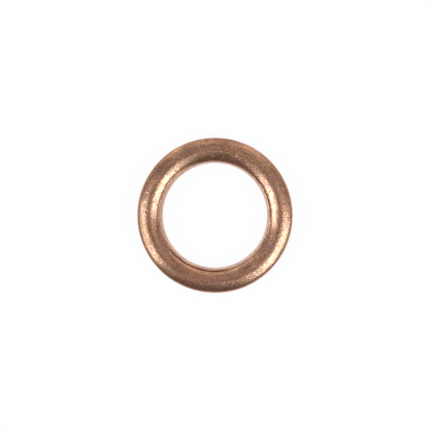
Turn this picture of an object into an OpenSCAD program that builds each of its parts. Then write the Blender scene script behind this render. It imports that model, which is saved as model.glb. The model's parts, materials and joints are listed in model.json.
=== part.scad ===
// Copper crush washer: one strip of sheet copper folded round into a hollow ring that lies flat on its seat.
// The strip starts at the lip in the bore, runs down to the seat, out round the rim and over the crown,
// and ends tucked down behind the lip, which leaves the seam round the bore.
// Lengths are in millimetres. The origin is on the bore's axis, in the plane of the seat.

/* [Ring] */
// Bore diameter, inside the lip
bore_d = 12.1; // [11:0.1:13]
// Outside diameter, over the rim
outer_d = 18; // [17:0.1:20]
// Height from the seat to the top of the crown
height = 2; // [1.8:0.1:2.6]

/* [Sheet] */
// Thickness of the sheet
sheet_t = 0.35; // [0.25:0.05:0.35]
// Outside radius of the two bends at the rim
rim_r = 0.5; // [0.4:0.05:0.6]

/* [Crown] */
// Share of the way from the tucked edge to the rim at which the crown is highest
crest_share = 0.47; // [0.4:0.01:0.55]
// Drop from the top of the crown to the straight wall of the rim
crown_h = 0.78; // [0.7:0.02:0.88]
// Drop from the top of the crown to the straight part of the tucked edge
shoulder_h = 0.68; // [0.6:0.02:0.8]

/* [Lip] */
// Outside radius of the bend from the seat into the bore
lip_bend_r = 0.5; // [0.4:0.05:0.6]
// Length of the straight bore wall above that bend
bore_wall_h = 0.4; // [0.2:0.05:0.5]
// Height from the bore wall to the lip's top edge
lip_bevel_h = 0.66; // [0.4:0.02:0.7]
// Radius that rounds the bevel into the top edge
lip_round_r = 0.22; // [0.1:0.02:0.22]
// Width of the flat that is left on the top edge
lip_edge_w = 0.01; // [0.01:0.01:0.03]

/* [Seam] */
// Gap between the lip and the tucked edge
seam_gap = 0.03; // [0.02:0.01:0.1]
// Outside radius of the bend above the tucked edge
tuck_bend_r = 0.42; // [0.4:0.02:0.5]
// Length of the straight tucked edge
tuck_h = 0.4; // [0.2:0.05:0.5]

/* [Hidden] */
copper = [0.72, 0.45, 0.33];
// Largest turn between two points of a bend, in degrees
bend_step = 5;
ring_facets = 180;
bore_r = bore_d / 2;
outer_r = outer_d / 2;
lip_back_r = bore_r + sheet_t;
// The tucked edge stands behind the lip, across the seam's gap
tuck_r = lip_back_r + seam_gap;
crest_r = tuck_r + crest_share * (outer_r - tuck_r);
rim_top_z = height - crown_h;
rim_foot_z = crown_h;
tuck_top_z = height - shoulder_h;
tuck_z = tuck_top_z - tuck_h;
// The crown is one arc from its top to the rim and another to the tucked edge
crown_r = arc_r(outer_r - crest_r, crown_h, rim_r);
crown_a = arc_a(outer_r - crest_r, crown_h, rim_r);
shoulder_r = arc_r(crest_r - tuck_r, shoulder_h, tuck_bend_r);
shoulder_a = arc_a(crest_r - tuck_r, shoulder_h, tuck_bend_r);
lip_foot = [bore_r, lip_bend_r + bore_wall_h];
lip_top_z = lip_foot[1] + lip_bevel_h;
lip_round_c = [lip_back_r - lip_edge_w, lip_top_z - lip_round_r];
// The bevel leans back from the bore wall until it touches the rounding
lip_rise = lip_round_c - lip_foot;
bevel_a = atan2(lip_rise[1], lip_rise[0]) + asin(lip_round_r / norm(lip_rise));
lip_edge = concat(
  [lip_foot, lip_round_c + lip_round_r * [-sin(bevel_a), cos(bevel_a)]],
  bend(lip_round_c, lip_round_r, 90 + bevel_a, 90),
  [[lip_back_r, lip_top_z]]
);

// Radius of an arc that starts level and runs smoothly into a bend of radius r, whose outside ends
// plumb at this width from the arc's start and this drop below it
function arc_r(width, drop, r) = (drop ^ 2 + (width - r) ^ 2 - r ^ 2) / (2 * (drop - r));

// Angle through which that arc turns
function arc_a(width, drop, r) = atan2(width - r, arc_r(width, drop, r) - drop);

// Points along a bend about c, from angle a0 (left out) to angle a1
function bend(c, r, a0, a1) =
  let (n = ceil(abs(a1 - a0) / bend_step))
  [for (i = [1:n]) let (a = a0 + (a1 - a0) * i / n) c + r * [cos(a), sin(a)]];

// One face of the strip, from the tucked edge round to the bore wall, at depth t below the outside
function face(t) = concat(
  [[tuck_r + t, tuck_z], [tuck_r + t, tuck_top_z]],
  bend([tuck_r + tuck_bend_r, tuck_top_z], tuck_bend_r - t, 180, 90 + shoulder_a),
  bend([crest_r, height - shoulder_r], shoulder_r - t, 90 + shoulder_a, 90),
  bend([crest_r, height - crown_r], crown_r - t, 90, 90 - crown_a),
  bend([outer_r - rim_r, rim_top_z], rim_r - t, 90 - crown_a, 0),
  [[outer_r - t, rim_foot_z]],
  bend([outer_r - rim_r, rim_foot_z], rim_r - t, 0, crown_a - 90),
  bend([crest_r, crown_r], crown_r - t, crown_a - 90, -90),
  [[bore_r + lip_bend_r, t]],
  bend([bore_r + lip_bend_r, lip_bend_r], lip_bend_r - t, -90, -180)
);

function reversed(points) = [for (i = [len(points) - 1:-1:0]) points[i]];

// The folded strip, turned about the bore's axis
module washer() {
  color(copper)
    rotate_extrude($fn = ring_facets)
      polygon(concat(face(0), lip_edge, reversed(face(sheet_t))));
}

washer();
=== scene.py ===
"""Copper crush washer: a hollow ring folded from sheet copper, on a white table under two softboxes."""

import json
import math

import bpy
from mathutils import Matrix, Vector


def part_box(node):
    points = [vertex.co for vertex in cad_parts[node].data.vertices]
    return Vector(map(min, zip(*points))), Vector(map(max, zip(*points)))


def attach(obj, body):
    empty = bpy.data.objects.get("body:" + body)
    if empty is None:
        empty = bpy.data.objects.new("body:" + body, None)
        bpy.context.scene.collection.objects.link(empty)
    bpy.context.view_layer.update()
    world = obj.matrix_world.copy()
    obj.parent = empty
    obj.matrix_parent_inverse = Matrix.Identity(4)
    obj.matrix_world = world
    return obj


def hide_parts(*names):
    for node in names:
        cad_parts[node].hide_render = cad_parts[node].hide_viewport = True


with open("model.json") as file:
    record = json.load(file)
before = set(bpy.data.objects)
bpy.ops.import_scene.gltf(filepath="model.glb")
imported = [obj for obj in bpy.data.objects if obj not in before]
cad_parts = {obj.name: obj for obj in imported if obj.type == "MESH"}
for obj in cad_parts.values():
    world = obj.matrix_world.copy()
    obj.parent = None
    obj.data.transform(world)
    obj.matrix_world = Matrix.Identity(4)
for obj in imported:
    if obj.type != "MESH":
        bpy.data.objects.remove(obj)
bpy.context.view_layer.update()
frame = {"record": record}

bl_info = {
    "name": "Copper crush washer",
    "version": (1, 0, 0),
    "blender": (4, 5, 0),
    "location": "3D View > Sidebar > Washer",
    "description": "Folds a hollow copper crush washer and sets a plain studio stage round it",
    "category": "Object",
}

MM = 0.001
BODY = "root"
NODE = "washer"

low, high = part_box(NODE)
bore = next(m for m in frame["record"]["mounts"] if m["name"] == "bore")
OUTER_D = round(high.x - low.x, 4)
HEIGHT = round(high.z - low.z, 5)
BORE_D = 2 * bore["dims"]["r_mm"] * MM


def length(name, description, default):
    """A length in metres that a user may change."""
    return bpy.props.FloatProperty(
        name=name, description=description, default=default, min=0, unit="LENGTH", precision=5
    )


def colour(name, description, default):
    """A colour that a user may change."""
    return bpy.props.FloatVectorProperty(
        name=name, description=description, default=default, size=3, min=0, max=1, subtype="COLOR"
    )


class WasherSizes(bpy.types.PropertyGroup):
    """Sizes of the folded strip."""

    bore_d: length("Bore", "Bore diameter, inside the lip", BORE_D)
    outer_d: length("Outside", "Outside diameter, over the rim", OUTER_D)
    height: length("Height", "Height from the seat to the top of the crown", HEIGHT)
    sheet_t: length("Sheet", "Thickness of the sheet", 0.35 * MM)
    rim_r: length("Rim bends", "Outside radius of the two bends at the rim", 0.5 * MM)
    crown_h: length("Crown", "Height of the crown above the straight wall of the rim", 0.78 * MM)
    shoulder_h: length("Shoulder", "Height of the crown above the tucked edge's straight part", 0.68 * MM)
    tuck_bend_r: length("Tuck bend", "Outside radius of the bend above the tucked edge", 0.42 * MM)
    crest_share: bpy.props.FloatProperty(
        name="Crest",
        description="Share of the way from the tucked edge to the rim at which the crown is highest",
        default=0.47, min=0.3, max=0.7, subtype="FACTOR",
    )
    lip_bend_r: length("Lip bend", "Outside radius of the bend from the seat into the bore", 0.5 * MM)
    bore_wall_h: length("Bore wall", "Length of the straight bore wall", 0.4 * MM)
    lip_bevel_h: length("Lip bevel", "Height from the bore wall to the lip's top edge", 0.66 * MM)
    lip_edge_w: length("Lip edge", "Width of the flat that is left on the lip's top edge", 0.01 * MM)
    lip_round_r: length("Lip rounding", "Radius that rounds the bevel into the top edge", 0.22 * MM)
    seam_gap: length("Seam gap", "Gap between the lip and the tucked edge", 0.03 * MM)
    tuck_h: length("Tuck", "Length of the straight tucked edge", 0.4 * MM)
    seam_drift: length("Seam drift", "How far the seam runs off centre", 0.07 * MM)
    drift_side: bpy.props.FloatProperty(
        name="Drift side", description="Side to which the seam runs off centre",
        default=math.radians(210), subtype="ANGLE",
    )
    seam_closing: length("Seam closing", "How far a shut seam's lip is pressed under the bend", 0.18 * MM)
    lip_sink: length("Lip sink", "How far the lip's top edge is pressed down there", 0.03 * MM)
    lip_wander: length("Lip wander", "Unevenness of the lip's bevel along its run", 0.035 * MM)
    nick_depth: length("Nicks", "Depth of the nicks in the lip and at the seam", 0.07 * MM)
    seam_wander: length("Seam wander", "Unevenness of the seam along its run", 0.05 * MM)
    wave_depth: length("Waves", "Depth of the slow waves in the sheet", 0.02 * MM)
    dent_depth: length("Dents", "Depth of the tumbling dents", 0.012 * MM)
    pit_depth: length("Pits", "Depth of the scattered pits", 0.02 * MM)


class CopperColours(bpy.types.PropertyGroup):
    """Colours of the copper and its tarnish, and of the painted reflections and shade."""

    bright: colour("Bright copper", "Copper where the tarnish is rubbed thin", (0.845, 0.442, 0.29))
    brown: colour("Brown tarnish", "Copper under its thin brown tarnish", (0.62, 0.305, 0.188))
    pink: colour("Pink bloom", "Pinkish patches", (0.65, 0.33, 0.255))
    olive: colour("Olive bloom", "Olive patches", (0.61, 0.35, 0.17))
    # Painted reflection: this golden colour brightens bands of the top where the weak far panels are
    # reflected
    reflection_gold: colour("Rubbed copper", "Golden copper where the tarnish is rubbed off", (0.92, 0.53, 0.32))
    chip: colour("Chips", "Clean copper in the small chips", (0.95, 0.66, 0.55))
    lip: colour("Lip", "Freshly worked copper of the lip", (0.92, 0.59, 0.43))
    # Painted shade: this colour darkens the seam, where shade falls; the dark specks take it too
    seam_shade_and_specks: colour("Seam groove", "Dark tarnish down in the seam", (0.52, 0.24, 0.13))


class StageLook(bpy.types.PropertyGroup):
    """Table, lamps and camera."""

    table: colour("Table", "Colour of the table", (0.94, 0.94, 0.95))
    softbox: colour("Softboxes", "Colour of the two softboxes", (0.76, 0.93, 1.0))
    softbox_power: bpy.props.FloatProperty(
        name="Softbox power", description="Brightness of the softboxes", default=4.2, min=0
    )
    halo: colour("Softbox edges", "Colour towards the edges of the softboxes", (1.0, 0.90, 0.75))
    halo_power: bpy.props.FloatProperty(
        name="Edge power", description="Brightness towards the edges of the softboxes", default=1.2, min=0
    )
    panel: colour("Far panels", "Colour of the three weak panels on the far side", (1.0, 0.93, 0.82))
    camera_height: length("Camera height", "Height of the camera above the table", 139.3 * MM)
    lens: bpy.props.FloatProperty(
        name="Lens", description="Focal length in millimetres", default=100, min=1
    )


# Node trees


class Wire:
    """One output in a node tree. Arithmetic on it adds Math nodes."""

    def __init__(self, tree, socket):
        self.tree = tree
        self.socket = socket

    def output(self, key):
        """Another output of the same node."""
        return Wire(self.tree, self.socket.node.outputs[key])

    def __add__(self, other):
        return self.tree.math("ADD", self, other)

    def __radd__(self, other):
        return self.tree.math("ADD", other, self)

    def __sub__(self, other):
        return self.tree.math("SUBTRACT", self, other)

    def __rsub__(self, other):
        return self.tree.math("SUBTRACT", other, self)

    def __mul__(self, other):
        return self.tree.math("MULTIPLY", self, other)

    def __rmul__(self, other):
        return self.tree.math("MULTIPLY", other, self)

    def __truediv__(self, other):
        return self.tree.math("DIVIDE", self, other)

    def __pow__(self, other):
        return self.tree.math("POWER", self, other)


class Tree:
    """A node tree that is written as calls."""

    def __init__(self, tree):
        self.tree = tree

    def add(self, kind, settings=None, sockets=None, output=0):
        """Makes a node, sets its settings and then its sockets, and returns one of its outputs."""
        node = self.tree.nodes.new(kind)
        for key, value in (settings or {}).items():
            setattr(node, key, value)
        for key, value in (sockets or {}).items():
            if isinstance(value, Wire):
                self.tree.links.new(value.socket, node.inputs[key])
            else:
                node.inputs[key].default_value = value
        return Wire(self, node.outputs[output]) if len(node.outputs) else node

    def math(self, operation, *values):
        return self.add("ShaderNodeMath", {"operation": operation}, dict(enumerate(values)))

    def vector(self, operation, *values, output=0, **sockets):
        return self.add(
            "ShaderNodeVectorMath", {"operation": operation}, {**dict(enumerate(values)), **sockets}, output
        )

    def split(self, vector):
        x = self.add("ShaderNodeSeparateXYZ", {}, {0: vector})
        return x, x.output(1), x.output(2)

    def join(self, x, y, z):
        return self.add("ShaderNodeCombineXYZ", {}, {0: x, 1: y, 2: z})

    def noise(self, place, scale, detail=2, roughness=0.5, w=None):
        """Noise from 0 to 1, with its features about 1 / scale apart."""
        settings = {"noise_dimensions": "3D" if w is None else "4D"}
        sockets = {"Vector": place, "Scale": scale, "Detail": detail, "Roughness": roughness}
        if w is not None:
            sockets["W"] = w
        return self.add("ShaderNodeTexNoise", settings, sockets)

    def smooth(self, value, low, high, to_low=0.0, to_high=1.0):
        """value eased from to_low at low to to_high at high."""
        return self.add(
            "ShaderNodeMapRange",
            {"interpolation_type": "SMOOTHSTEP"},
            {"Value": value, "From Min": low, "From Max": high, "To Min": to_low, "To Max": to_high},
        )

    def mix(self, factor, first, second, blend="MIX"):
        """Colour first, turning into second with factor."""
        settings = {"data_type": "RGBA", "blend_type": blend, "clamp_factor": True}
        return self.add("ShaderNodeMix", settings, {0: factor, 6: first, 7: second}, output=2)


# The folded section, in metres from the bore's axis and above the seat


def bend(centre, radius, start, end, spacing):
    """Points along a bend, from angle start (left out) to angle end."""
    steps = max(3, math.ceil(abs(end - start) * radius / spacing))
    for i in range(1, steps + 1):
        a = start + (end - start) * i / steps
        yield centre[0] + radius * math.cos(a), centre[1] + radius * math.sin(a)


def straight(first, last, spacing):
    """Points along a straight, from first (left out) to last."""
    steps = max(1, math.ceil(math.dist(first, last) / spacing))
    for i in range(1, steps + 1):
        f = i / steps
        yield first[0] + (last[0] - first[0]) * f, first[1] + (last[1] - first[1]) * f


def eased(before, corner, after, reach, steps=5):
    """Points of a rounded corner that begins and ends reach away from the sharp one."""
    ends = []
    for p in (before, after):
        f = reach / math.dist(p, corner)
        ends.append((corner[0] + (p[0] - corner[0]) * f, corner[1] + (p[1] - corner[1]) * f))
    for i in range(steps + 1):
        t = i / steps
        yield tuple(
            (1 - t) ** 2 * a + 2 * t * (1 - t) * c + t * t * b
            for a, c, b in zip(ends[0], corner, ends[1])
        )


def ease(value):
    """0 to 1 with a soft start and end."""
    v = min(max(value, 0.0), 1.0)
    return v * v * (3 - 2 * v)


class Fold:
    """The strip's section from its sizes."""

    OUTSIDE_SPACING = 0.085 * MM
    INSIDE_SPACING = 0.3 * MM

    def __init__(self, s):
        self.s = s
        self.bore_r = s.bore_d / 2
        self.outer_r = s.outer_d / 2
        self.lip_back_r = self.bore_r + s.sheet_t
        self.tuck_r = self.lip_back_r + s.seam_gap
        self.crest_r = self.tuck_r + s.crest_share * (self.outer_r - self.tuck_r)
        self.crown_r, self.crown_a = self.crown(self.outer_r - self.crest_r, s.crown_h, s.rim_r)
        inner = self.crest_r - self.tuck_r
        self.shoulder_r, self.shoulder_a = self.crown(inner, s.shoulder_h, s.tuck_bend_r)
        self.rim_top_z = s.height - s.crown_h
        self.tuck_top_z = s.height - s.shoulder_h
        self.lip_foot_z = s.lip_bend_r + s.bore_wall_h
        self.lip_top_z = self.lip_foot_z + s.lip_bevel_h

    def crown(self, width, drop, bend_r):
        """Radius and turn of the crest's arc into a bend that ends width away and drop below."""
        reach = width - bend_r
        radius = (drop**2 + reach**2 - bend_r**2) / (2 * (drop - bend_r))
        return radius, math.atan2(reach, radius - drop)

    def face(self, depth, spacing):
        """One face of the strip, from the tucked edge round to the bore wall."""
        s, up = self.s, math.pi / 2
        over, under = up - self.crown_a, self.crown_a - up
        rise = up + self.shoulder_a
        tuck_end = (self.tuck_r + depth, self.tuck_top_z - s.tuck_h)
        tuck_side = self.tuck_r + s.tuck_bend_r
        bore_side = self.bore_r + s.lip_bend_r
        return [
            tuck_end,
            *straight(tuck_end, (self.tuck_r + depth, self.tuck_top_z), spacing),
            *bend((tuck_side, self.tuck_top_z), s.tuck_bend_r - depth, 2 * up, rise, spacing),
            *bend((self.crest_r, s.height - self.shoulder_r), self.shoulder_r - depth, rise, up, spacing),
            *bend((self.crest_r, s.height - self.crown_r), self.crown_r - depth, up, over, spacing),
            *bend((self.outer_r - s.rim_r, self.rim_top_z), s.rim_r - depth, over, 0, spacing),
            *straight((self.outer_r - depth, self.rim_top_z), (self.outer_r - depth, s.crown_h), spacing),
            *bend((self.outer_r - s.rim_r, s.crown_h), s.rim_r - depth, 0, under, spacing),
            *bend((self.crest_r, self.crown_r), self.crown_r - depth, under, -up, spacing),
            *straight((self.crest_r, depth), (bore_side, depth), spacing),
            *bend((bore_side, s.lip_bend_r), s.lip_bend_r - depth, -up, -2 * up, spacing),
        ]

    def lip(self):
        """The lip's face to the bore, its bevel, its rounded top edge and its back."""
        s, step, up = self.s, self.OUTSIDE_SPACING, math.pi / 2
        wall = (self.bore_r, s.lip_bend_r)
        foot = (self.bore_r, self.lip_foot_z)
        centre = (self.lip_back_r - s.lip_edge_w, self.lip_top_z - s.lip_round_r)
        lean = math.asin(s.lip_round_r / math.dist(foot, centre))
        bevel_a = math.atan2(centre[1] - foot[1], centre[0] - foot[0]) + lean
        reach = s.lip_round_r
        brow = (centre[0] - reach * math.sin(bevel_a), centre[1] + reach * math.cos(bevel_a))
        top = (centre[0], self.lip_top_z)
        back = (self.lip_back_r, self.lip_top_z)
        heel = (self.lip_back_r, s.lip_bend_r)
        low_turn = list(eased(wall, foot, brow, 0.14 * MM, 6))
        back_turn = list(eased(top, back, heel, 0.9 * s.lip_edge_w, 4))
        front = [
            *straight(wall, low_turn[0], step),
            *low_turn[1:],
            *straight(low_turn[-1], brow, step),
            *bend(centre, s.lip_round_r, up + bevel_a, up, step / 3),
        ]
        return front, [*back_turn, *straight(back_turn[-1], heel, step)][:-1]

    def seam_pull(self, r, z, foot_z):
        """How much of the seam's drift a point takes: all at the seam, none at foot_z and at the rim."""
        rise = ease((z - foot_z) / (self.lip_top_z - foot_z))
        return rise * ease((self.outer_r - r) / (self.outer_r - self.tuck_r)) ** 2

    def outline(self):
        """Closed outline as rows of radius, height and the point's marks."""
        bend_top = self.s.lip_bend_r
        front, back = self.lip()
        rows = []
        # Painted shade: the seam's mark darkens the outside face where it runs down behind the lip, the
        # lip's back and the whole inside face
        for r, z in self.face(0, self.OUTSIDE_SPACING):
            behind = r < self.tuck_r + 0.25 * self.s.tuck_bend_r and z > bend_top
            painted_shade = ease((self.lip_top_z - z) / (0.12 * MM)) * behind
            rows.append((r, z, {"outside": 1.0, "seam_shade_and_specks": painted_shade, "seam": self.seam_pull(r, z, bend_top)}))
        for r, z in front:
            # Painted shade: the brow mark dims the lip's rounded top edge
            brow = 1 - ease((self.lip_top_z - z) / (0.3 * MM))
            fresh = ease((z - self.lip_foot_z + 0.1 * MM) / (0.1 * MM)) * (1 - brow)
            pull = self.seam_pull(r, z, self.lip_foot_z)
            rows.append((r, z, {"outside": 1.0, "lip": fresh, "brow": brow, "seam": pull, "brink": pull}))
        for r, z in back:
            painted_shade = ease((self.lip_top_z - z) / (0.1 * MM))
            pull = self.seam_pull(r, z, bend_top)
            rows.append((r, z, {"seam_shade_and_specks": painted_shade, "seam": pull, "brink": pull}))
        for r, z in reversed(self.face(self.s.sheet_t, self.INSIDE_SPACING)):
            rows.append((r, z, {"seam_shade_and_specks": 1.0, "seam": self.seam_pull(r, z, bend_top)}))
        return rows


MARKS = ("outside", "seam", "brink", "seam_shade_and_specks", "lip", "brow")


def section_object(fold):
    """The outline as a loop of edges for the sweep, with its marks as point attributes."""
    rows = fold.outline()
    mesh = bpy.data.meshes.new("section")
    points = [(r - fold.crest_r, -z, 0) for r, z, _ in rows]
    mesh.from_pydata(points, [(i, (i + 1) % len(points)) for i in range(len(points))], [])
    for name in MARKS:
        mark = mesh.attributes.new(name, "FLOAT", "POINT")
        mark.data.foreach_set("value", [marks.get(name, 0.0) for _, _, marks in rows])
    section = bpy.data.objects.new("section", mesh)
    bpy.context.scene.collection.objects.link(section)
    return section


# Nicks: angle round the ring in degrees, distance from the axis, height and reach in metres
NICKS = (
    (302, 6.10 * MM, 1.05 * MM, 0.20 * MM),
    (214, 6.52 * MM, 1.60 * MM, 0.16 * MM),
    (128, 6.22 * MM, 1.40 * MM, 0.18 * MM),
    (20, 6.15 * MM, 1.20 * MM, 0.14 * MM),
)

# Stretches on which the seam is pressed shut: middle, half length to where it is open
# and half length to where it is shut, in degrees
PRESSED = (
    (163, 62, 25),
    (316, 46, 18),
)
# Share of the closing that the rest of the seam has
OPEN_SHARE = 0.3
# Share of the drift by which the whole seam lies closer to the axis
DRIFT_LEAN = 0.55

RING_INPUTS = {
    "Section": "NodeSocketObject",
    "Ring radius": "NodeSocketFloat",
    "Steps": "NodeSocketInt",
    "Seam drift": "NodeSocketFloat",
    "Drift side": "NodeSocketFloat",
    "Seam closing": "NodeSocketFloat",
    "Lip sink": "NodeSocketFloat",
    "Seam wander": "NodeSocketFloat",
    "Lip wander": "NodeSocketFloat",
    "Nick depth": "NodeSocketFloat",
    "Wave depth": "NodeSocketFloat",
    "Dent depth": "NodeSocketFloat",
    "Pit depth": "NodeSocketFloat",
    "Copper": "NodeSocketMaterial",
}


def ring_tree():
    """Sweeps a section round a circle, lets the seam drift and wander, and dents the outside."""
    group = bpy.data.node_groups.new("folded_ring", "GeometryNodeTree")
    group.interface.new_socket("Ring", in_out="OUTPUT", socket_type="NodeSocketGeometry")
    for name, kind in RING_INPUTS.items():
        group.interface.new_socket(name, in_out="INPUT", socket_type=kind)
    t = Tree(group)
    given = t.add("NodeGroupInput")

    def mark(name):
        return t.add("GeometryNodeInputNamedAttribute", {"data_type": "FLOAT"}, {"Name": name})

    section = t.add(
        "GeometryNodeObjectInfo", {"transform_space": "ORIGINAL"},
        {"Object": given.output("Section")}, "Geometry",
    )
    profile = t.add("GeometryNodeMeshToCurve", {}, {"Mesh": section})
    circle = t.add(
        "GeometryNodeCurvePrimitiveCircle", {"mode": "RADIUS"},
        {"Resolution": given.output("Steps"), "Radius": given.output("Ring radius")},
    )
    ring = t.add("GeometryNodeCurveToMesh", {}, {"Curve": circle, "Profile Curve": profile})

    place = t.add("GeometryNodeInputPosition")
    x, y, _ = t.split(place)
    outward = t.vector("NORMALIZE", t.join(x, y, 0.0))
    around = t.math("ARCTAN2", y, x)
    turn = t.math("COSINE", around - given.output("Drift side"))
    closed = OPEN_SHARE
    for middle, far, near in PRESSED:
        beside = t.math("COSINE", around - math.radians(middle))
        shut = t.smooth(beside, math.cos(math.radians(far)), math.cos(math.radians(near)))
        closed = closed + (1 - OPEN_SHARE) * shut
    uneven = t.noise(outward, 2.6, 3) * 2 - 1
    drift = given.output("Seam drift") * (turn - DRIFT_LEAN)
    shift = mark("seam") * (drift + given.output("Seam wander") * uneven)
    shift = shift + mark("brink") * given.output("Seam closing") * closed
    ragged = t.noise(place, 1 / (0.55 * MM), 3, 0.6)
    shift = shift + mark("lip") * given.output("Lip wander") * ragged
    sink = mark("brink") * given.output("Lip sink") * closed
    offset = t.vector("ADD", t.vector("SCALE", outward, Scale=shift), t.join(0.0, 0.0, 0 - sink))
    ring = t.add("GeometryNodeSetPosition", {}, {"Geometry": ring, "Offset": offset})

    waves = t.noise(place, 1 / (2.6 * MM), 1)
    dents = t.noise(place, 1 / (0.62 * MM), 2, 0.55)
    cells = {"Vector": place, "Scale": 1 / (1.1 * MM), "Randomness": 1.0}
    near = t.add("ShaderNodeTexVoronoi", {}, cells, "Distance")
    chance, _, _ = t.split(near.output("Color"))
    pits = t.smooth(near, 0.16, 0.02) * t.smooth(chance, 0.70, 0.72)
    depth = given.output("Wave depth") * waves + given.output("Dent depth") * dents
    depth = depth + given.output("Pit depth") * pits
    for angle, radius, height, reach in NICKS:
        a = math.radians(angle)
        spot = (radius * math.cos(a), radius * math.sin(a), height)
        away = t.vector("DISTANCE", place, spot, output=1)
        depth = depth + given.output("Nick depth") * t.smooth(away, reach, 0.2 * reach)
    normal = t.add("GeometryNodeInputNormal")
    inward = t.vector("SCALE", normal, Scale=0 - depth * mark("outside"))
    ring = t.add("GeometryNodeSetPosition", {}, {"Geometry": ring, "Offset": inward})
    ring = t.add("GeometryNodeSetShadeSmooth", {}, {"Geometry": ring})
    ring = t.add("GeometryNodeRealizeInstances", {}, {"Geometry": ring})
    ring = t.add("GeometryNodeSetMaterial", {}, {"Geometry": ring, "Material": given.output("Copper")})
    t.add("NodeGroupOutput", {}, {"Ring": ring})
    return group


# The copper's surface


def rgba(c):
    return (*c, 1.0)


# Stains: place, reach and core in millimetres, and the tone that dims the copper there
STAINS = (
    ((-8.9, -2.3, 1.4), 3.4, 1.0, (0.77, 0.73, 0.64)),
    ((-5.1, -6.5, 1.6), 2.2, 0.6, (0.74, 0.72, 0.70)),
    ((3.4, -5.9, 1.8), 1.05, 0.3, (0.74, 0.80, 0.87)),
    ((5.9, -3.4, 1.8), 1.05, 0.3, (0.72, 0.79, 0.87)),
    ((-3.2, 7.5, 1.9), 1.6, 0.4, (0.76, 0.79, 0.84)),
    ((-6.1, 5.6, 1.9), 1.7, 0.4, (0.72, 0.75, 0.78)),
)


# Tones that dim the copper in its grain and in its streaks, and the painted shade on the brow of the lip
GRAIN_TONE = (0.36, 0.34, 0.31)
STREAK_TONE = (0.45, 0.42, 0.42)
PAINTED_BROW_SHADE = (0.70, 0.62, 0.56)

# Painted reflection on bands of the top: middle and half length in degrees, radius and half width in
# millimetres
PAINTED_REFLECTION_BANDS = (
    (58, 22, 8.36, 0.36),
    (111, 22, 8.42, 0.34),
    (266, 56, 6.72, 0.26),
)


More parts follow.
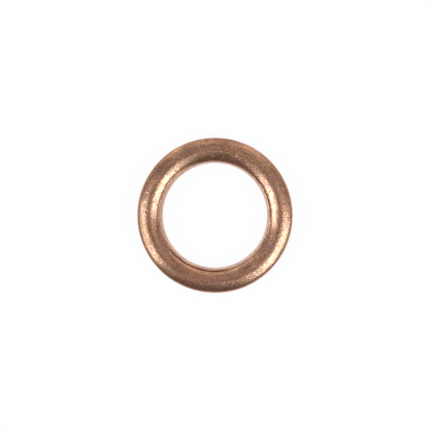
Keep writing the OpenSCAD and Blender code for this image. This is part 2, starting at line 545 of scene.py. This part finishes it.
def copper_material(c):
    """Satin copper with thin, uneven tarnish, stains, grain, streaks along the ring and small specks;
    painted reflections on bands of the top, painted shade in the seam and on the lip's brow.
    """
    material = bpy.data.materials.new("satin_copper")
    material.use_nodes = True
    material.node_tree.nodes.clear()
    t = Tree(material.node_tree)

    def mark(name):
        return t.add("ShaderNodeAttribute", {"attribute_name": name}, {}, "Fac")

    place = t.vector("SCALE", t.add("ShaderNodeTexCoord", {}, {}, "Object"), Scale=1 / MM)
    x, y, z = t.split(place)
    r = (x * x + y * y) ** 0.5
    outward = t.vector("NORMALIZE", t.join(x, y, 0.0))
    ox, oy, _ = t.split(outward)

    grain = t.noise(place, 5.5, 3, 0.75)
    mottle = t.noise(t.vector("ADD", place, (11.0, 3.0, 7.0)), 1.7, 4, 0.6)
    patch = t.noise(t.vector("ADD", place, (2.0, 17.0, 5.0)), 0.33, 2)
    tint = t.noise(t.vector("ADD", place, (23.0, 9.0, 1.0)), 1.1, 5, 0.7)
    streak = t.noise(t.join(ox * 4.5, oy * 4.5, r * 4.5), 1.0, 3, 0.6, w=z * 4.5)
    cells = {"Vector": place, "Scale": 1.9, "Randomness": 1.0}
    near = t.add("ShaderNodeTexVoronoi", {}, cells, "Distance")
    chance, other, _ = t.split(near.output("Color"))
    specks = t.smooth(near, 0.17, 0.05)
    dark_specks = specks * t.smooth(chance, 0.72, 0.76)
    chips = specks * t.smooth(other, 0.80, 0.82)

    tarnish = t.smooth(0.35 * patch + 0.3 * mottle + 0.35 * streak, 0.38, 0.62)
    base = t.mix(tarnish, rgba(c.bright), rgba(c.brown))
    base = t.mix(t.smooth(tint, 0.50, 0.68) * 0.95, base, rgba(c.pink))
    base = t.mix(t.smooth(tint, 0.50, 0.32) * 0.95, base, rgba(c.olive))
    upper = t.smooth(z, 1.0, 1.3)
    # Painted reflection: golden copper on bands of the top where the far panels are reflected
    for angle, half_length, middle, half_width in PAINTED_REFLECTION_BANDS:
        a, half = math.radians(angle), math.radians(half_length)
        along = t.smooth(ox * math.cos(a) + oy * math.sin(a), math.cos(half), math.cos(0.6 * half))
        aside = t.math("ABSOLUTE", r - middle + 0.4 * (mottle - 0.5))
        reflection_band = along * t.smooth(aside, half_width, 0.4 * half_width) * upper
        base = t.mix(reflection_band * t.smooth(mottle, 0.38, 0.6, 0.4, 0.9), base, rgba(c.reflection_gold))
    base = t.mix(mark("lip") * t.smooth(mottle, 0.3, 0.6, 0.55, 0.95), base, rgba(c.lip))
    base = t.mix(t.smooth(grain, 0.36, 0.64) * 0.72, base, rgba(GRAIN_TONE), "MULTIPLY")
    base = t.mix(t.smooth(streak, 0.45, 0.68) * 0.4, base, rgba(STREAK_TONE), "MULTIPLY")
    base = t.mix(dark_specks * 0.7, base, rgba(c.seam_shade_and_specks))
    base = t.mix(chips * 0.8, base, rgba(c.chip))
    # Painted shade: darkens the seam and the hollow, where shade falls
    base = t.mix(mark("seam_shade_and_specks") * 0.7, base, rgba(c.seam_shade_and_specks))
    # Painted shade: dims the lip's rounded top edge
    base = t.mix(mark("brow") * 0.25, base, rgba(PAINTED_BROW_SHADE), "MULTIPLY")
    stained = 0
    for spot, far, near, tone in STAINS:
        stain = t.smooth(t.vector("DISTANCE", place, spot, output=1) + 1.2 * (mottle - 0.5), far, near)
        base = t.mix(stain, base, rgba(tone), "MULTIPLY")
        stained = stained + stain

    roughness = 0.15 + 0.12 * grain + 0.06 * tarnish + 0.05 * stained + 0.1 * dark_specks
    roughness = roughness + 0.15 * mark("seam_shade_and_specks") + 0.08 * mark("lip") + 0.14 * mark("brow")
    height = 0.8 * grain + 0.35 * streak + 0.5 * mottle - 0.6 * dark_specks + 0.6 * chips
    film = t.smooth(grain, 0.35, 0.65, 0.7, 0.4) * (1 - 0.8 * mark("seam_shade_and_specks"))
    normal = t.add(
        "ShaderNodeBump", {}, {"Strength": 1.0, "Distance": 0.023 * MM, "Height": height}, "Normal"
    )
    shader = t.add(
        "ShaderNodeBsdfPrincipled", {},
        {"Base Color": base, "Metallic": 1.0, "Roughness": roughness, "Normal": normal,
         "Coat Weight": film, "Coat Roughness": 0.2},
    )
    t.add("ShaderNodeOutputMaterial", {}, {"Surface": shader})
    return material


class WASHER_OT_fold(bpy.types.Operator):
    """Fold the copper washer from its section"""

    bl_idname = "washer.fold"
    bl_label = "Fold the washer"
    ROUND_STEPS = 570

    def execute(self, context):
        sizes = context.scene.washer_sizes
        fold = Fold(sizes)
        section = section_object(fold)
        group = ring_tree()
        washer = bpy.data.objects.new("copper_washer", bpy.data.meshes.new("blank"))
        context.scene.collection.objects.link(washer)
        sweep = washer.modifiers.new("sweep", "NODES")
        sweep.node_group = group
        values = {
            "Section": section,
            "Ring radius": fold.crest_r,
            "Steps": self.ROUND_STEPS,
            "Seam drift": sizes.seam_drift,
            "Drift side": sizes.drift_side,
            "Seam closing": sizes.seam_closing,
            "Lip sink": sizes.lip_sink,
            "Seam wander": sizes.seam_wander,
            "Lip wander": sizes.lip_wander,
            "Nick depth": sizes.nick_depth,
            "Wave depth": sizes.wave_depth,
            "Dent depth": sizes.dent_depth,
            "Pit depth": sizes.pit_depth,
            "Copper": copper_material(context.scene.copper_colours),
        }
        for socket in group.interface.items_tree:
            if socket.in_out == "INPUT":
                sweep[socket.identifier] = values[socket.name]
        folded = bpy.data.meshes.new_from_object(washer.evaluated_get(context.evaluated_depsgraph_get()))
        if not folded.polygons:
            raise RuntimeError("the sweep made no faces")
        folded.name = "copper_washer"
        washer.modifiers.remove(sweep)
        washer.data = folded
        bpy.data.objects.remove(section)
        bpy.data.node_groups.remove(group)
        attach(washer, BODY)
        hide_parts(NODE)
        return {"FINISHED"}


# The stage

# Softboxes on the room's walls: azimuth and its half width, angle from straight up and its half width,
# in degrees
SOFTBOXES = (
    (196, 25, 44, 21),
    (-28, 27, 40, 23),
)

# Degrees over which a softbox fades, to each side of its edge
SOFTBOX_EDGE = 8

# Colours of the room on the near and the far side
ROOM_NEAR = (0.195, 0.181, 0.178)
ROOM_FAR = (0.51, 0.478, 0.468)

# Share of plain white that the camera and the copper see in the table
TABLE_WHITE = 0.94

# Weak panels: name, azimuth and angle from straight up in degrees, distance, width and depth in metres,
# brightness
PANELS = (
    ("far_right_panel", 60, 72, 0.60, 0.36, 0.42, 0.45),
    ("far_middle_panel", 90, 52, 0.60, 0.30, 0.26, 0.2),
    ("far_left_panel", 122, 73, 0.60, 0.36, 0.20, 1.1),
)


def towards(azimuth, polar):
    """Direction from the washer, from its azimuth and its angle from straight up, in degrees."""
    a, p = math.radians(azimuth), math.radians(polar)
    return Vector((math.cos(a) * math.sin(p), math.sin(a) * math.sin(p), math.cos(p)))


def panel(name, azimuth, polar, distance, width, depth, radiance, tone):
    """An oval lamp that faces the washer."""
    lamp = bpy.data.lights.new(name, "AREA")
    lamp.shape = "ELLIPSE"
    lamp.size, lamp.size_y = width, depth
    lamp.energy = radiance * math.pi * math.pi / 4 * width * depth
    lamp.color = tone
    box = bpy.data.objects.new(name, lamp)
    away = towards(azimuth, polar)
    box.location = away * distance
    box.rotation_mode = "QUATERNION"
    box.rotation_quaternion = away.to_track_quat("Z", "Y")
    box.visible_camera = False
    bpy.context.scene.collection.objects.link(box)


def table_material(tone):
    """White table that keeps the washer's shadow, and shows near white to the camera and in the copper."""
    material = bpy.data.materials.new("white_table")
    material.use_nodes = True
    material.node_tree.nodes.clear()
    t = Tree(material.node_tree)
    path = t.add("ShaderNodeLightPath", {}, {}, "Is Camera Ray")
    seen = t.math("MAXIMUM", path, path.output("Is Glossy Ray"))
    seen = t.math("MAXIMUM", seen, path.output("Is Transmission Ray"))
    matt = t.add("ShaderNodeBsdfDiffuse", {}, {"Color": rgba(tone)})
    white = t.add("ShaderNodeEmission", {}, {"Color": (1, 1, 1, 1), "Strength": 1.0})
    mixed = t.add("ShaderNodeMixShader", {}, {0: seen * TABLE_WHITE, 1: matt, 2: white})
    t.add("ShaderNodeOutputMaterial", {}, {"Surface": mixed})
    return material


def room_world(look):
    """A dim room, a little lighter on the far side, with two softboxes that fade towards their edges."""
    world = bpy.data.worlds.new("studio_room")
    world.use_nodes = True
    world.node_tree.nodes.clear()
    t = Tree(world.node_tree)
    x, y, z = t.split(t.vector("NORMALIZE", t.add("ShaderNodeTexCoord", {}, {}, "Generated")))
    shade = t.mix(t.smooth(y, -0.95, 0.5), rgba(ROOM_NEAR), rgba(ROOM_FAR))
    polar = t.math("ARCCOSINE", z)
    level = t.math("MAXIMUM", (x * x + y * y) ** 0.5, 0.001)
    edge = math.radians(SOFTBOX_EDGE)
    for azimuth, half_azimuth, tilt, half_tilt in SOFTBOXES:
        a, half_a, tilt, half_tilt = (math.radians(v) for v in (azimuth, half_azimuth, tilt, half_tilt))
        aside = t.math("ARCCOSINE", (x * math.cos(a) + y * math.sin(a)) / level)
        above = t.math("ABSOLUTE", polar - tilt)
        across = t.smooth(aside, half_a + edge, half_a - edge)
        glow = across * t.smooth(above, half_tilt + edge, half_tilt - edge)
        shade = t.mix(glow, shade, rgba(v * look.halo_power for v in look.halo))
        shade = t.mix(t.smooth(glow, 0.3, 1.0), shade, rgba(v * look.softbox_power for v in look.softbox))
    back = t.add("ShaderNodeBackground", {}, {"Color": shade, "Strength": 1.0})
    t.add("ShaderNodeOutputWorld", {}, {"Surface": back})
    return world


class WASHER_OT_stage(bpy.types.Operator):
    """Set the table, the lamps, the room and the camera"""

    bl_idname = "washer.stage"
    bl_label = "Set the stage"

    def execute(self, context):
        look = context.scene.washer_stage
        half = 1.5
        mesh = bpy.data.meshes.new("table")
        drop = -0.01 * MM
        corners = [(-half, -half, drop), (half, -half, drop), (half, half, drop), (-half, half, drop)]
        mesh.from_pydata(corners, [], [(0, 1, 2, 3)])
        mesh.materials.append(table_material(look.table))
        table = bpy.data.objects.new("table", mesh)
        context.scene.collection.objects.link(table)

        for numbers in PANELS:
            panel(*numbers, look.panel)
        context.scene.world = room_world(look)

        camera = bpy.data.cameras.new("camera")
        camera.lens = look.lens
        camera.sensor_width = 36
        camera.clip_start = 0.005
        camera.clip_end = 10
        eye = bpy.data.objects.new("camera", camera)
        eye.location = (0, 0.04 * MM, look.camera_height)
        context.scene.collection.objects.link(eye)
        context.scene.camera = eye
        context.scene.view_settings.view_transform = "Standard"
        return {"FINISHED"}


class WASHER_PT_panel(bpy.types.Panel):
    """Sizes, colours and steps of the washer"""

    bl_idname = "WASHER_PT_panel"
    bl_label = "Copper crush washer"
    bl_space_type = "VIEW_3D"
    bl_region_type = "UI"
    bl_category = "Washer"

    def draw(self, context):
        for group in (context.scene.washer_sizes, context.scene.copper_colours, context.scene.washer_stage):
            box = self.layout.box()
            for name in group.__annotations__:
                box.prop(group, name)
        for step in STEPS:
            self.layout.operator(step.bl_idname)


STEPS = (WASHER_OT_fold, WASHER_OT_stage)
GROUPS = {"washer_sizes": WasherSizes, "copper_colours": CopperColours, "washer_stage": StageLook}


def register():
    for cls in (*GROUPS.values(), *STEPS, WASHER_PT_panel):
        bpy.utils.register_class(cls)
    for name, group in GROUPS.items():
        setattr(bpy.types.Scene, name, bpy.props.PointerProperty(type=group))


def unregister():
    for name in GROUPS:
        delattr(bpy.types.Scene, name)
    for cls in (WASHER_PT_panel, *STEPS, *GROUPS.values()):
        bpy.utils.unregister_class(cls)


def main():
    register()
    bpy.ops.washer.fold()
    bpy.ops.washer.stage()


if __name__ == "__main__":
    main()
